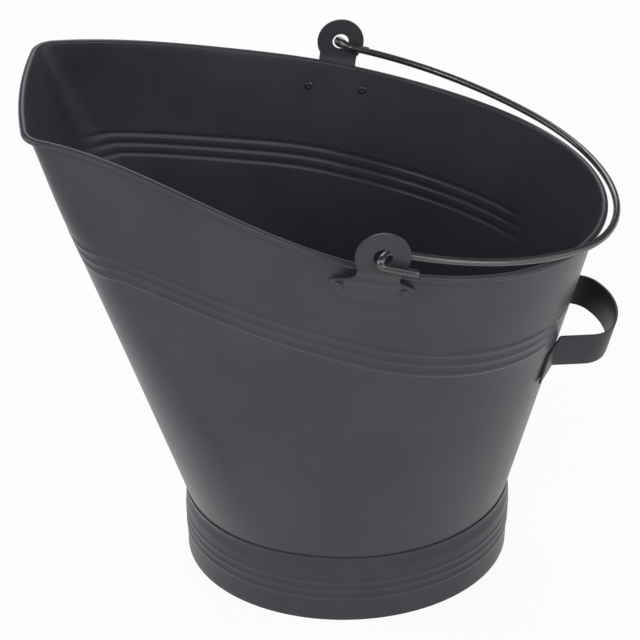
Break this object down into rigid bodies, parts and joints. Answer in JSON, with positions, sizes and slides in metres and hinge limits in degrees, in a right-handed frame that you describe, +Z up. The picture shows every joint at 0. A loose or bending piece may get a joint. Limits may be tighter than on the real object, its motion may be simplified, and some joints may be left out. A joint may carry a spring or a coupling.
{
  "type": "pellet carrier",
  "caption": "Oval black sheet-steel pellet carrier with a raised pouring spout, rolled rim, foot ring, swinging wire bail and a fixed rear strap handle for tipping.",
  "frame": {"origin": "centre of the foot ring's underside, on the surface the carrier stands on", "axes": "+X out of the spout, +Y to the carrier's left side, +Z up"},
  "size_m": [0.4124, 0.3148, 0.396],
  "materials": {
    "body_coat": "satin black powder coat",
    "fitting_coat": "satin black powder coat",
    "wire_coat": "satin black coat over wire",
    "rivet_coat": "satin black coat"
  },
  "bodies": {
    "bucket": {"body_shell": "body_coat", "foot_ring": "body_coat", "base_pan": "body_coat", "ear_left": "fitting_coat", "ear_right": "fitting_coat", "ear_rivets": "rivet_coat", "rear_handle": "fitting_coat"},
    "bail": {"bail": "wire_coat"}
  },
  "joints": [
    {"name": "bail_swing", "type": "hinge", "parent": "bucket", "child": "bail", "pos_m": [-0.00567, 0, 0.34936], "axis": [0, 1, 0], "range_deg": [-1.9, 182]}
  ]
}
